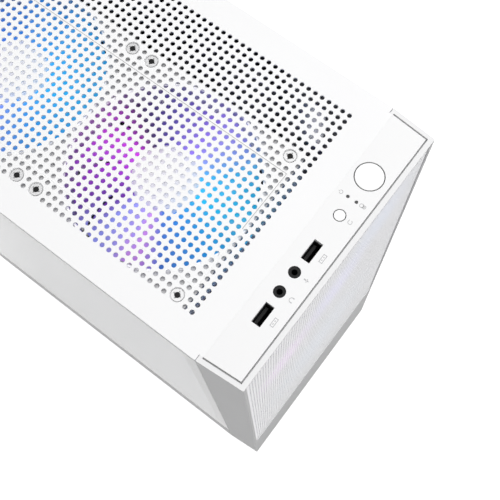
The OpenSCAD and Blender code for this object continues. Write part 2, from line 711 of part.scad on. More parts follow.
module motherboard() {
    face = pcb_x;
    color("darkslategray") {
        difference() {
            box([pcb_x, pcb_x + pcb_t], [pcb_y0, pcb_y1], [pcb_z0, pcb_z1]);
            for (y = standoff_y, z = standoff_z) translate([pcb_x - 1, y, z]) rod_x(1.9, pcb_t + 2);
        }
        // processor socket
        box([face - 5, face + eps], [cpu[0] - 21, cpu[0] + 21], [cpu[1] - 21, cpu[1] + 21]);
        // memory slots
        for (y = dimm_y) difference() {
            box([face - 6, face + eps], [y - 3, y + 3], [dimm_z - 70, dimm_z + 70]);
            box([face - 7, face - 2], [y - 0.8, y + 0.8], [dimm_z - 66, dimm_z + 66]);
        }
        // expansion slots
        for (i = [0, 1, 3])
            box([face - 10, face + eps], [pcb_y1 - (i == 1 ? 76 : 140), pcb_y1 - 50],
                [slot_z[i] - 3.6, slot_z[i] + 3.6]);
        // main power connector
        box([face - 12, face + eps], [pcb_y0 + 2, pcb_y0 + 12], [pcb_z0 + 115, pcb_z0 + 167]);
        // processor power connector
        box([face - 12, face + eps], [pcb_y1 - 60, pcb_y1 - 42], [pcb_z1 - 12, pcb_z1 - 2]);
        // chipset cooler
        for (i = [0:6])
            box([face - 8, face + eps], [pcb_y0 + 45 + i * 6, pcb_y0 + 48 + i * 6],
                [pcb_z0 + 20, pcb_z0 + 62]);
        box([face - 3, face + eps], [pcb_y0 + 44, pcb_y0 + 88], [pcb_z0 + 18, pcb_z0 + 64]);
        // drive sockets and the front control header
        for (i = [0, 1])
            box([face - 9, face + eps], [pcb_y0 + 2, pcb_y0 + 14],
                [pcb_z0 + 40 + i * 18, pcb_z0 + 54 + i * 18]);
        box([face - 8, face + eps], [pcb_y0 + 1, pcb_y0 + 26], [pcb_z0 + 12, pcb_z0 + 19]);
        // capacitors beside the processor
        for (i = [0:7]) translate([face - 8, cpu[0] + 27, cpu[1] - 38 + i * 11]) rod_x(3, 8 + eps);
        for (i = [0:4]) translate([face - 8, cpu[0] - 30 + i * 10, cpu[1] + 28]) rod_x(3, 8 + eps);
        // sound chip capacitors
        for (i = [0:4]) translate([face - 6, pcb_y1 - 30, pcb_z0 + 16 + i * 9]) rod_x(2.6, 6 + eps);
    }
}

module standoffs() {
    color("goldenrod") for (y = standoff_y, z = standoff_z) translate([pcb_x + pcb_t, y, z])
        rotate([0, 90, 0]) difference() {
            cylinder(r = 3, h = standoff_h, $fn = 6);
            translate([0, 0, -1]) cylinder(r = 1.5, h = standoff_h + 2, $fn = fine);
        }
}

// Sockets on the board's rear edge
module rear_ports() {
    y = [pcb_y1 - 22, y_back - 0.4];
    x1 = pcb_x;
    color("dimgray") {
        for (p = ports) difference() {
            box([x1 - p[2], x1], y, [p[0] - p[1] / 2, p[0] + p[1] / 2]);
            for (k = [0:p[3] - 1])
                box([x1 - p[2] + 5 + k * 15, x1 - p[2] + 11 + k * 15], [y[1] - 6, y[1] + 1],
                    [p[0] - p[1] / 2 + 1.4, p[0] + p[1] / 2 - 1.4]);
        }
        for (k = [0:2]) translate([x1 - 6 - k * 12, 0, port_jacks_z]) difference() {
            union() {
                box([-6, 6], [y[0] + 6, y[1] - 3], [-7, 7]);
                translate([0, y[1] - 3 - eps, 0]) rod_y(4.2, 3);
            }
            translate([0, y[1] - 12, 0]) rod_y(1.8, 14);
        }
    }
}

// Stamped plate round the rear ports, held behind the rear panel's opening
module io_shield() {
    y = [y_back - steel - 0.7, y_back - steel - 0.1];
    x1 = pcb_x;
    color("silver") difference() {
        box([aperture_x[0] - 1.5, aperture_x[1] + 1.5], y,
            [aperture_z[0] - 1.5, aperture_z[1] + 1.5]);
        for (p = ports)
            box([x1 - p[2] - gap, x1 + gap], [y[0] - 1, y[1] + 1],
                [p[0] - p[1] / 2 - gap, p[0] + p[1] / 2 + gap]);
        for (k = [0:2]) translate([x1 - 6 - k * 12, y[0] - 1, port_jacks_z]) rod_y(4.5, 3);
    }
}

// Finned blocks over the power stages
module vrm_heatsinks() {
    x = [pcb_x - 30, pcb_x - 2.2];
    color("silver") {
        difference() {
            box(x, [pcb_y1 - 42, pcb_y1 - 26], [cpu[1] - 52, cpu[1] + 52]);
            for (i = [0:12])
                box([x[0] - 1, x[0] + 20], [pcb_y1 - 43, pcb_y1 - 25],
                    [cpu[1] - 48 + i * 8, cpu[1] - 44.6 + i * 8]);
        }
        box([x[1] - eps, pcb_x], [pcb_y1 - 40, pcb_y1 - 28], [cpu[1] - 46, cpu[1] + 46]);
    }
}

module memory_modules() {
    color("dimgray") for (i = [1, 3]) {
        box([pcb_x - 41, pcb_x - 8], [dimm_y[i] - 3, dimm_y[i] + 3],
            [dimm_z - dimm_len / 2, dimm_z + dimm_len / 2]);
        box([pcb_x - 8 - eps, pcb_x - 2.4], [dimm_y[i] - 0.6, dimm_y[i] + 0.6],
            [dimm_z - dimm_len / 2 + 2, dimm_z + dimm_len / 2 - 2]);
    }
}

// ---------- processor cooler ----------

fin_x = [pcb_x - 148, pcb_x - 34];
fin_y = [cpu[0] - 24, cpu[0] + 26];
fin_count = 30;

// Base block, heat pipes and a stack of thin fins
module cpu_cooler() {
    pitch = (fin_x[1] - fin_x[0] - 0.6) / (fin_count - 1);
    color("silver") {
        box([pcb_x - 17, pcb_x - 5.1], [cpu[0] - 19, cpu[0] + 19], [cpu[1] - 20, cpu[1] + 20]);
        for (i = [-1, 1], j = [-1.5, -0.5, 0.5, 1.5])
            translate([fin_x[0] - 3, cpu[0] + 1 + i * 9, cpu[1] + j * 11])
                rod_x(3, pcb_x - 10 - fin_x[0]);
        for (i = [0:fin_count - 1])
            box([fin_x[0] + i * pitch, fin_x[0] + i * pitch + 0.6], fin_y,
                [cpu[1] - 60, cpu[1] + 60]);
    }
}

// ---------- graphics card ----------

module graphics_card() {
    z = [card_z - 0.8, card_z + 0.8];
    y = card_y;
    color("darkslategray") {
        box([card_x[0], card_x[1] - 0.1], [y[0] + 4, y[1] - 2], z);
        box([card_x[1] - 30, card_x[1] - 10], [y[1] - 6, y[1] + eps], z);
        // bracket and the picture sockets that open through it
        difference() {
            union() {
                box([card_x[0] - 2, pcb_x - 0.6], [y[1], y[1] + 1], [card_z - 33.4, card_z + 6.8]);
                for (k = [0:2])
                    box([-22 + k * 24, -4 + k * 24], [y[1] - 18, y[1] + eps],
                        [card_z - 8, z[0] + eps]);
            }
            for (k = [0:2])
                box([-20 + k * 24, -6 + k * 24], [y[1] - 8, y[1] + 2],
                    [card_z - 6.2, card_z - 1.6]);
        }
    }
}

// Heatsink under a shroud with two fan ducts, and a stiffening plate on top
module graphics_cooler() {
    x = [card_x[0] - 4, card_x[1] - 6];
    y = [card_y[0], card_y[1] - 22];
    color("gainsboro") {
        difference() {
            box(x, y, cooler_z);
            for (fy = card_fan_y) translate([card_fan_x, fy, cooler_z[0] - 1])
                cylinder(r = card_fan_r, h = 17, $fn = 96);
            for (i = [0:30])
                box([x[0] - 1, x[0] + 14], [y[0] + 8 + i * 6.4, y[0] + 12 + i * 6.4],
                    [cooler_z[0] + 19, cooler_z[1] - 3]);
        }
        for (fy = card_fan_y) translate([card_fan_x, fy, 0]) difference() {
            translate([0, 0, cooler_z[0] + 6]) cylinder(r = 5, h = 10.1, $fn = fine);
            translate([0, 0, cooler_z[0] + 4])
                cylinder(r = shaft_r + shaft_clear, h = 11, $fn = fine);
        }
        box([x[0] + 4, x[1]], [y[0] + 4, y[1] + 8], [card_z + 2.4, card_z + 3.6]);
        for (px = [x[0] + 10, x[1] - 8], py = [y[0] + 12, y[1] - 6])
            translate([px, py, card_z + 0.8]) cylinder(r = 2.4, h = 2, $fn = fine);
    }
}

module card_rotor() {
    top = 12;
    translate([0, 0, 16]) rotate([180, 0, 0]) {
        difference() {
            translate([0, 0, 3]) cylinder(r = 14, h = top, $fn = fine);
            translate([0, 0, 2]) cylinder(r = 12, h = top - 1, $fn = fine);
        }
        translate([0, 0, 2.4]) cylinder(r = shaft_r, h = top, $fn = fine);
        for (i = [0:10])
            rotate([0, 0, i * 360 / 11]) translate([13, 0, 9]) rotate([32, 0, 0])
                translate([0, -7, -0.6]) cube([26.5, 14, 1.2]);
    }
}

module graphics_fan_rear() { color("gray") translate([card_fan_x, card_fan_y[0], cooler_z[0]]) card_rotor(); }
module graphics_fan_front() { color("gray") translate([card_fan_x, card_fan_y[1], cooler_z[0]]) card_rotor(); }

// ---------- power supply ----------

module psu_case() {
    x = [-psu_w / 2, psu_w / 2];
    y = [psu_y0, psu_y1];
    z = [psu_z, psu_z + psu_h];
    color("dimgray") difference() {
        box(x, y, z);
        box([x[0] + steel, x[1] - steel], [y[0] + steel, y[1] - steel],
            [z[0] + steel, z[1] - steel]);
        translate([psu_fan[0], psu_fan[1], z[0] - 1]) cylinder(r = bore_r, h = steel + 2, $fn = 96);
        translate([-26, y[1] + 1, psu_z + psu_h / 2]) rotate([90, 0, 0])
            honeycomb(92, 74, 9, 8, steel + 2);
        box([inlet[0] - 13.6, inlet[0] + 13.6], [y[1] - 2, y[1] + 1],
            [inlet[1] - 10.1, inlet[1] + 10.1]);
        box([rocker[0] - 7.6, rocker[0] + 7.6], [y[1] - 2, y[1] + 1],
            [rocker[1] - 10.6, rocker[1] + 10.6]);
        translate([58, y[0] - 1, 72]) rod_y(9, steel + 2);
        for (p = [[-69, 6], [69, 6], [-69, psu_h - 6], [45, psu_h - 6]])
            translate([p[0], y[1] - 2, psu_z + p[1]]) rod_y(1.7, steel + 2);
    }
}

// Mains inlet with three blades, and the frame of the switch under it
module psu_inlet() {
    y = [psu_y1 - 22, psu_y1 + 0.6];
    color("black") {
        difference() {
            box([inlet[0] - 13.4, inlet[0] + 13.4], y, [inlet[1] - 9.9, inlet[1] + 9.9]);
            box([inlet[0] - 11.6, inlet[0] + 11.6], [y[1] - 16, y[1] + 1],
                [inlet[1] - 7.8, inlet[1] + 7.8]);
        }
        for (p = [[-7, -2], [0, 2], [7, -2]])
            box([inlet[0] + p[0] - 1, inlet[0] + p[0] + 1], [y[1] - 17, y[1] - 5],
                [inlet[1] + p[1] - 2.5, inlet[1] + p[1] + 2.5]);
        difference() {
            box([rocker[0] - 7.4, rocker[0] + 7.4], y, [rocker[1] - 10.4, rocker[1] + 10.4]);
            box([rocker[0] - 6, rocker[0] + 6], [y[1] - 14, y[1] + 1],
                [rocker[1] - 9.2, rocker[1] + 9.2]);
            translate([rocker[0] - 7, psu_y1 - 5, rocker[1]]) rod_x(1.26, 14);
        }
    }
}

module psu_rocker() {
    color("black") translate([rocker[0], psu_y1 - 5, rocker[1]]) rotate([rocker_tilt, 0, 0]) {
        translate([-5.6, -2.6, -7.8]) cube([11.2, 7.2, 15.6]);
        translate([-6.8, 0, 0]) rod_x(1.2, 13.6);
    }
}

// ---------- rear and underside ----------

module slot_covers() {
    color("white") for (i = [0, 1])
        box([slot_x[0] - 6, pcb_x - 0.6], [y_back - steel - 1.2, y_back - steel - 0.2],
            [slot_z[i] - 13.6, slot_z[i] + 4.4]);
}

foot_x = 76;
foot_y = [y_front + 45, y_back - 30];

module feet() {
    color("white") for (s = [-1, 1], y = foot_y) translate([s * foot_x, y, 2.4]) difference() {
        linear_extrude(foot_h - 2.4) round_rect(24, 44, 8);
        translate([0, 0, 3]) cylinder(r = 4, h = foot_h, $fn = fine);
    }
}

module foot_pads() {
    color("dimgray") for (s = [-1, 1], y = foot_y)
        translate([s * foot_x, y, 0]) linear_extrude(2.4) round_rect(20, 40, 7);
}

// Slides out backwards between its guides
module bottom_filter() {
    x = [-61, 61];
    y = [psu_y0 - 1, psu_y1];
    z = [z_floor_plate - 3.2, z_floor_plate - 0.8];
    color("dimgray") {
        difference() {
            box(x, y, z);
            box([x[0] + 6, -2], [y[0] + 6, y[1] - 8], [z[0] - 1, z[1] + 1]);
            box([2, x[1] - 6], [y[0] + 6, y[1] - 8], [z[0] - 1, z[1] + 1]);
        }
        box([x[0] + 2, x[1] - 2], [y[0] + 2, y[1] - 4], [z[0] + 1, z[0] + 1.3]);
        box([-20, 20], [y[1] - eps, y[1] + 4], [z[0], z[1]]);
    }
}

// Fan screws in the dimples, through the front plate and the rear panel, and the board's screws
module screws() {
    color("silver") {
        for (p = fan_screw_xy) translate([p[0], p[1], z_top - steel - dimple_depth + dimple_floor + 1.6])
            machine_screw(3.6, 1.6, 1.8, 6);
        for (z = front_fan_z, i = [-1, 1], j = [-1, 1])
            translate([i * fan_holes / 2, y_plate + steel + 1.7, z + j * fan_holes / 2])
                rotate([-90, 0, 0]) machine_screw(3.6, 1.6, 1.8, 6);
        for (i = [-1, 1], j = [-1, 1])
            translate([rear_fan[0] + i * fan_holes / 2, y_back + 1.7, rear_fan[2] + j * fan_holes / 2])
                rotate([-90, 0, 0]) machine_screw(3.6, 1.6, 1.8, 6);
        for (y = standoff_y, z = standoff_z) translate([pcb_x - 1.8, y, z])
            rotate([0, -90, 0]) machine_screw(3, 1.6, 1.4, 4);
        for (p = [[-69, 6], [69, 6], [-69, psu_h - 6], [45, psu_h - 6]])
            translate([p[0], y_back + 1.7, psu_z + p[1]])
                rotate([-90, 0, 0]) machine_screw(3.4, 1.6, 1.5, 5);
    }
}

module power_cable() { color("black") tube(power_route, 6, 3); }
module front_io_cable() { color("black") tube(front_route, 2.4, 3); }

chassis_base();
front_plate();
top_panel();
rear_panel();
motherboard_tray();
psu_shroud();
drive_cage();
hard_drive();
solid_state_drive();
right_side_panel();
right_thumbscrews();
glass_panel();
glass_frame();
glass_thumbscrews();
front_bezel();
io_panel();
front_mesh();
front_filter();
power_button();
reset_button();
io_board();
led_light_pipes();
usb_sockets();
audio_jacks();
top_fan_front_frame();
top_fan_front_rotor();
top_fan_rear_frame();
top_fan_rear_rotor();
front_fan_upper_frame();
front_fan_upper_rotor();
front_fan_lower_frame();
front_fan_lower_rotor();
rear_fan_frame();
rear_fan_rotor();
motherboard();
standoffs();
rear_ports();
io_shield();
vrm_heatsinks();
memory_modules();
cpu_cooler();
cpu_fan_frame();
cpu_fan_rotor();
graphics_card();
graphics_cooler();
graphics_fan_rear();
graphics_fan_front();
psu_case();
psu_fan_frame();
psu_fan_rotor();
psu_inlet();
psu_rocker();
slot_covers();
feet();
foot_pads();
bottom_filter();
screws();
power_cable();
front_io_cable();
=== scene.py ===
import math

import bmesh
import bpy
from mathutils import Matrix, Vector


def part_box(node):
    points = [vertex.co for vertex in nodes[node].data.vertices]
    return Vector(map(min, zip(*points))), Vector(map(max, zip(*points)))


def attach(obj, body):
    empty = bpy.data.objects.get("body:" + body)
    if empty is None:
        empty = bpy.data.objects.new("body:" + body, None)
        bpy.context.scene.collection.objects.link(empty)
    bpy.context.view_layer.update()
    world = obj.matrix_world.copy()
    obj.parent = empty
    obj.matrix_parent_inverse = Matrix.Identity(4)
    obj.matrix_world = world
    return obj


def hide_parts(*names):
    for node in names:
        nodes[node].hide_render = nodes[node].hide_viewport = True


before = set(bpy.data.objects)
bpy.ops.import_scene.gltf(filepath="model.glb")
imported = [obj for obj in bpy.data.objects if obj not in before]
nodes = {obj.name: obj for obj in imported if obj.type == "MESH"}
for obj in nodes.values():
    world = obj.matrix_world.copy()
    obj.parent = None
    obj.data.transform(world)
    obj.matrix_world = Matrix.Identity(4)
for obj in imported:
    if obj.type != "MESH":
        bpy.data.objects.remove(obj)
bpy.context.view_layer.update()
MM = 0.001
Z_TOP = 430
BOARD_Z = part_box("io_board")[0][2] / MM


def srgb(*c):
    """Linear colour from 0..1 display values."""
    return tuple(x / 12.92 if x <= 0.04045 else ((x + 0.055) / 1.055) ** 2.4 for x in c)


# ---------------------------------------------------------------- materials


class Graph:
    """A material's node tree with short calls."""

    def __init__(self, name):
        self.mat = bpy.data.materials.new(name)
        self.mat.use_nodes = True
        self.tree = self.mat.node_tree
        self.tree.nodes.clear()
        self.out = self.tree.nodes.new("ShaderNodeOutputMaterial")
        self.bsdf = self.tree.nodes.new("ShaderNodeBsdfPrincipled")
        self.link(self.bsdf.outputs[0], self.out.inputs[0])
        self.coord = self.tree.nodes.new("ShaderNodeTexCoord").outputs["Object"]

    @classmethod
    def of(cls, mat):
        """The graph of a material that is already made, to add to it."""
        g = cls.__new__(cls)
        g.mat, g.tree = mat, mat.node_tree
        g.out = g.tree.nodes["Material Output"]
        g.bsdf = g.tree.nodes["Principled BSDF"]
        g.coord = g.tree.nodes["Texture Coordinate"].outputs["Object"]
        g.colour = g.tree.nodes["Color Ramp"].outputs[0]
        return g

    def link(self, a, b):
        self.tree.links.new(a, b)

    def node(self, kind, **settings):
        n = self.tree.nodes.new("ShaderNode" + kind)
        for k, v in settings.items():
            setattr(n, k, v)
        return n

    def scaled(self, scale):
        m = self.node("Mapping")
        m.inputs["Scale"].default_value = scale
        self.link(self.coord, m.inputs["Vector"])
        return m.outputs[0]

    def noise(self, scale, detail=2.0, vector=None):
        n = self.node("TexNoise")
        n.inputs["Scale"].default_value = scale
        n.inputs["Detail"].default_value = detail
        self.link(vector or self.coord, n.inputs["Vector"])
        return n.outputs["Fac"]

    def ramp(self, fac, stops, mode="LINEAR"):
        n = self.node("ValToRGB")
        n.color_ramp.interpolation = mode
        e = n.color_ramp.elements
        while len(e) < len(stops):
            e.new(0.5)
        for el, (p, c) in zip(e, stops):
            el.position = p
            el.color = (*c, 1)
        self.link(fac, n.inputs[0])
        return n.outputs[0]

    def spread(self, fac, lo, hi):
        n = self.node("MapRange")
        n.inputs["To Min"].default_value = lo
        n.inputs["To Max"].default_value = hi
        self.link(fac, n.inputs["Value"])
        return n.outputs[0]

    def bump(self, height, strength, distance):
        n = self.node("Bump")
        n.inputs["Strength"].default_value = strength
        n.inputs["Distance"].default_value = distance
        self.link(height, n.inputs["Height"])
        self.link(n.outputs[0], self.bsdf.inputs["Normal"])

    def math(self, op, a, b=0.0):
        n = self.node("Math", operation=op)
        for i, v in enumerate((a, b)):
            if isinstance(v, (int, float)):
                n.inputs[i].default_value = v
            else:
                self.link(v, n.inputs[i])
        return n.outputs[0]

    def mix(self, fac, a, b):
        n = self.node("Mix", data_type="RGBA")
        self.link(fac, n.inputs["Factor"])
        for socket, v in ((n.inputs[6], a), (n.inputs[7], b)):
            if isinstance(v, tuple):
                socket.default_value = (*v, 1)
            else:
                self.link(v, socket)
        return n.outputs[2]


def surface(name, base, rough, metallic=0.0, tint=0.02, broad=18, grain=2600, bump=0.12,
            depth=0.00006, spread=0.05, stretch=None, coat=0.0, specular=0.5):
    """Paint, plastic or metal: a slow drift of tone and gloss over a fine grain."""
    g = Graph(name)
    slow = g.noise(broad, 3)
    base = Vector(base)
    g.link(g.ramp(slow, [(0.3, tuple(base * (1 - tint))), (0.7, tuple(base * (1 + tint)))]),
           g.bsdf.inputs["Base Color"])
    fine = g.noise(grain, 2, g.scaled(stretch) if stretch else None)
    g.link(g.spread(fine, rough - spread, rough + spread), g.bsdf.inputs["Roughness"])
    g.bump(fine, bump, depth)
    g.bsdf.inputs["Metallic"].default_value = metallic
    g.bsdf.inputs["Specular IOR Level"].default_value = specular
    if coat:
        g.bsdf.inputs["Coat Weight"].default_value = coat
        g.bsdf.inputs["Coat Roughness"].default_value = 0.2
    return g.mat


WHITE = surface("white_powder_coat", (0.90, 0.90, 0.905), 0.55, tint=0.006, grain=2200, bump=0.10)
# Painted shade: a darker copy of the white powder coat for the parts inside the case.
WHITE_SHADED_INSIDE = surface("white_powder_coat_inside_painted_shade", (0.78, 0.78, 0.79), 0.6, tint=0.01, grain=2200)
BEZEL = surface("white_moulding", (0.84, 0.84, 0.845), 0.5, tint=0.006, grain=3200, bump=0.06,
                specular=0.15)
# The mesh paint gets an even painted glow on its face and painted shade on its punched walls, further
# down.
MESH = surface("white_mesh_with_painted_glow", (0.93, 0.93, 0.935), 0.5, tint=0.006, grain=2600, bump=0.05)
STRIP = surface("strip_moulding", (0.87, 0.87, 0.873), 0.5, tint=0.006, grain=3200, bump=0.06)
CAP = surface("button_cap", (0.93, 0.93, 0.93), 0.35, tint=0.004, grain=4200, bump=0.04)
# Painted shade: the motherboard tray is coloured near-black for the dark inside the closed case.
TRAY_SHADE = surface("tray_painted_shade", (0.05, 0.05, 0.052), 0.6, tint=0.05, grain=2200)
BLACK = surface("black_moulding", (0.012, 0.012, 0.013), 0.42, tint=0.15, grain=2400, bump=0.15)
DARK = surface("dark_moulding", (0.022, 0.022, 0.024), 0.5, tint=0.12, grain=1800, bump=0.2)
SOCKET = surface("socket_black", (0.007, 0.007, 0.0075), 0.6, tint=0.15, grain=2400, bump=0.1,
                 specular=0.25)
DARK_STEEL = surface("black_steel", (0.02, 0.02, 0.022), 0.45, tint=0.1, grain=1500, bump=0.2)
STEEL = surface("plated_steel", (0.62, 0.63, 0.65), 0.28, metallic=1.0, tint=0.06, grain=900,
                bump=0.05, stretch=(1, 1, 0.08))
SHIELD = surface("shield_steel", (0.30, 0.305, 0.315), 0.42, metallic=1.0, tint=0.06, grain=1200,
                 bump=0.08)
# Painted shade: grey for the pressed line in the top.
BEAD_SHADE = surface("bead_painted_shade", (0.52, 0.52, 0.525), 0.6, tint=0.01, grain=2200)
OXIDE_AND_HEAD_SHADE = surface("screw_finish_and_head_shade", (0.03, 0.03, 0.032), 0.4, metallic=0.3, tint=0.1, grain=1500)
g = Graph.of(OXIDE_AND_HEAD_SHADE)      # the screws in the top are painted, and coloured grey as painted shade in their dimples; the others are black
height = g.node("SeparateXYZ")
g.link(g.coord, height.inputs[0])
painted = g.math("GREATER_THAN", height.outputs["Z"], 0.4275)
g.link(g.mix(painted, g.colour, (0.66, 0.66, 0.665)), g.bsdf.inputs["Base Color"])
ALU = surface("drawn_aluminium", (0.72, 0.73, 0.75), 0.3, metallic=1.0, tint=0.05, grain=1400,
              bump=0.06, stretch=(0.06, 1, 1))
BRASS = surface("brass", (0.72, 0.5, 0.2), 0.3, metallic=1.0, tint=0.08, grain=900)
RUBBER = surface("grey_rubber", (0.16, 0.16, 0.165), 0.85, tint=0.08, grain=1200, bump=0.3)
SLEEVE = surface("braided_sleeve", (0.02, 0.02, 0.022), 0.7, tint=0.2, grain=1500, bump=0.5)
SMOKE = surface("smoked_plastic", (0.02, 0.02, 0.022), 0.3, tint=0.1, grain=2000, bump=0.05)
# Painted shade for the groove round the control strip and the gaps round the buttons.
GAP_SHADE_GREY = surface("button_gap_shade_grey", (0.10, 0.10, 0.103), 0.8, tint=0.06, grain=1500, bump=0.2)
GROOVE_SHADE_GREY = surface("grey_groove_shade", (0.44, 0.44, 0.445), 0.9, tint=0.06, grain=1500, bump=0.3)
INK = surface("grey_ink", (0.50, 0.50, 0.51), 0.6, tint=0.05, grain=2000, bump=0.02)


def glass():
    """Clear sheet that lets direct light through to the inside of the case."""
    g = Graph("tempered_glass")
    g.bsdf.inputs["Transmission Weight"].default_value = 1.0
    g.bsdf.inputs["IOR"].default_value = 1.5
    g.bsdf.inputs["Sheen Weight"].default_value = 0.35
    g.bsdf.inputs["Sheen Roughness"].default_value = 0.3
    clear = g.node("BsdfTransparent")
    either = g.node("MixShader")
    g.link(g.node("LightPath").outputs["Is Shadow Ray"], either.inputs[0])
    g.link(g.bsdf.outputs[0], either.inputs[1])
    g.link(clear.outputs[0], either.inputs[2])
    g.link(either.outputs[0], g.out.inputs[0])
    g.link(g.ramp(g.noise(9, 2), [(0.3, (0.93, 0.945, 0.95)), (0.7, (0.955, 0.965, 0.97))]),
           g.bsdf.inputs["Base Color"])
    g.link(g.spread(g.noise(30, 3), 0.0, 0.03), g.bsdf.inputs["Roughness"])
    return g.mat


def net(name, base, glow=None):
    """Woven dust net: crossed threads."""
    g = Graph(name)
    waves = []
    for axis in ("X", "Z"):
        w = g.node("TexWave", wave_type="BANDS", bands_direction=axis)
        w.inputs["Scale"].default_value = 260
        g.link(g.coord, w.inputs["Vector"])
        waves.append(w.outputs["Fac"])
    thread = g.math("MAXIMUM", *waves)
    dark = tuple(Vector(base) * 0.55)
    g.link(g.ramp(thread, [(0.25, dark), (0.75, base)]), g.bsdf.inputs["Base Color"])
    g.link(g.spread(thread, 0.9, 0.7), g.bsdf.inputs["Roughness"])
    g.bump(thread, 0.5, 0.0002)
    # Painted light: the threads emit the glow they are given.
    if glow:
        g.link(glow(g), g.bsdf.inputs["Emission Color"])
        g.bsdf.inputs["Emission Strength"].default_value = 1.0
    return g.mat


def centred(g, centre):
    """Object coordinates counted from a point in mm."""
    n = g.node("VectorMath", operation="SUBTRACT")
    g.link(g.coord, n.inputs[0])
    n.inputs[1].default_value = [c * MM for c in centre]
    return n.outputs[0]


def lit_blades(name, centre, turn, stops, strength, hub=0.021):
    """Clear plastic blades whose colour runs round the fan, as its lamps light it."""
    g = Graph(name)
    local = centred(g, centre)
    m = g.node("Mapping")
    m.inputs["Rotation"].default_value = turn
    g.link(local, m.inputs["Vector"])
    radial = g.node("TexGradient", gradient_type="RADIAL")
    g.link(m.outputs[0], radial.inputs["Vector"])
    around = g.math("FRACT", g.math("ADD", radial.outputs["Fac"], 0.5))
    hue = g.ramp(around, stops)
    length = g.node("VectorMath", operation="LENGTH")
    g.link(local, length.inputs[0])
    fade = g.node("MapRange")
    fade.inputs["From Min"].default_value = hub
    fade.inputs["From Max"].default_value = 0.058
    fade.inputs["To Min"].default_value = 1.0
    fade.inputs["To Max"].default_value = 0.62
    g.link(length.outputs["Value"], fade.inputs["Value"])
    cloudy = g.spread(g.noise(60, 2), 0.8, 1.15)
    level = g.math("MULTIPLY", fade.outputs[0], cloudy)
    scale = g.node("VectorMath", operation="SCALE")
    g.link(hue, scale.inputs[0])
    g.link(level, scale.inputs["Scale"])
    g.link(scale.outputs[0], g.bsdf.inputs["Emission Color"])
    g.bsdf.inputs["Emission Strength"].default_value = strength
    g.link(g.ramp(g.noise(120, 2), [(0.3, (0.06, 0.06, 0.07)), (0.7, (0.09, 0.09, 0.10))]),
           g.bsdf.inputs["Base Color"])
    g.bsdf.inputs["Roughness"].default_value = 0.3
    return g.mat


def board(name, base, trace):
    """Circuit board: lacquer with fine tracks and small pads."""
    g = Graph(name)
    wave = g.node("TexWave", wave_type="BANDS", bands_direction="Z")
    wave.inputs["Scale"].default_value = 90
    wave.inputs["Distortion"].default_value = 3.0
    wave.inputs["Detail"].default_value = 1.0
    wave.inputs["Detail Scale"].default_value = 6.0
    g.link(g.coord, wave.inputs["Vector"])
    cells = g.node("TexVoronoi")
    cells.inputs["Scale"].default_value = 170
    g.link(g.coord, cells.inputs["Vector"])
    zone = g.math("GREATER_THAN", g.noise(26, 1), 0.5)
    tracks = g.math("MULTIPLY", g.math("GREATER_THAN", wave.outputs["Fac"], 0.72), zone)
    pads = g.math("LESS_THAN", cells.outputs["Distance"], 0.16)
    col = g.mix(tracks, base, trace)
    g.link(g.mix(pads, col, (0.32, 0.31, 0.28)), g.bsdf.inputs["Base Color"])
    g.link(g.spread(pads, 0.4, 0.25), g.bsdf.inputs["Roughness"])
    g.bump(g.math("ADD", tracks, pads), 0.3, 0.0001)
    return g.mat


PCB = board("circuit_board", (0.012, 0.014, 0.017), (0.03, 0.034, 0.04))
PCB_GREEN = board("control_board", (0.01, 0.05, 0.025), (0.02, 0.09, 0.04))
GLASS = glass()
NET_DARK = net("dark_net", (0.03, 0.03, 0.032))

MATERIALS = {
    WHITE: "top_panel rear_panel right_side_panel slot_covers chassis_base glass_frame",
    WHITE_SHADED_INSIDE: "psu_shroud drive_cage front_plate",
    TRAY_SHADE: "motherboard_tray",
    BEZEL: "front_bezel feet",
    STRIP: "io_panel",
    CAP: "power_button reset_button",
    SMOKE: "led_light_pipes",
    GLASS: "glass_panel",
    SOCKET: "audio_jacks usb_sockets",
    BLACK: "psu_inlet psu_rocker graphics_card memory_modules rear_ports",
    DARK: "cpu_fan_frame psu_fan_frame solid_state_drive",
    DARK_STEEL: "psu_case",
    OXIDE_AND_HEAD_SHADE: "screws",
    STEEL: "right_thumbscrews glass_thumbscrews hard_drive",
    SHIELD: "io_shield",
    ALU: "cpu_cooler vrm_heatsinks graphics_cooler",
    BRASS: "standoffs",
    RUBBER: "foot_pads",
    NET_DARK: "bottom_filter",
    PCB: "motherboard",
    PCB_GREEN: "io_board",
    SLEEVE: "power_cable front_io_cable",
}
# Painted shade: the white fan frames are coloured mid grey for the shade they sit in inside the case.
FAN_FRAME_SHADED = surface("fan_frame_white_painted_shade", (0.62, 0.62, 0.63), 0.5, tint=0.02, grain=2600)
for n in nodes:
    if n.endswith("_frame") and n not in ("glass_frame", "cpu_fan_frame", "psu_fan_frame"):
        MATERIALS[FAN_FRAME_SHADED] = MATERIALS.get(FAN_FRAME_SHADED, "") + " " + n


def paint(obj, mat):
    if not obj.material_slots:
        obj.data.materials.append(mat)
    for s in obj.material_slots:
        s.material = mat


for mat, names in MATERIALS.items():
    for n in names.split():
        paint(nodes[n], mat)


# ---------------------------------------------------------------- mesh helpers


def piece(name, verts, faces, mat, body, slot, smooth=None, replaces=None, scale=MM):
    """A mesh piece from points in millimetres, riding on a body."""
    me = bpy.data.meshes.new(name)
    me.from_pydata([[c * scale for c in v] for v in verts], [], faces)
    me.validate()
    bm = bmesh.new()
    bm.from_mesh(me)
    bmesh.ops.recalc_face_normals(bm, faces=bm.faces)
    bm.to_mesh(me)
    bm.free()
    me.materials.append(mat)
    o = bpy.data.objects.new(name, me)
    bpy.context.scene.collection.objects.link(o)
    if smooth is not None:
        me.polygons.foreach_set("use_smooth", [True] * len(me.polygons))
        me.set_sharp_from_angle(angle=math.radians(smooth))
    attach(o, body)
    if replaces:
        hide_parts(replaces)
    return o


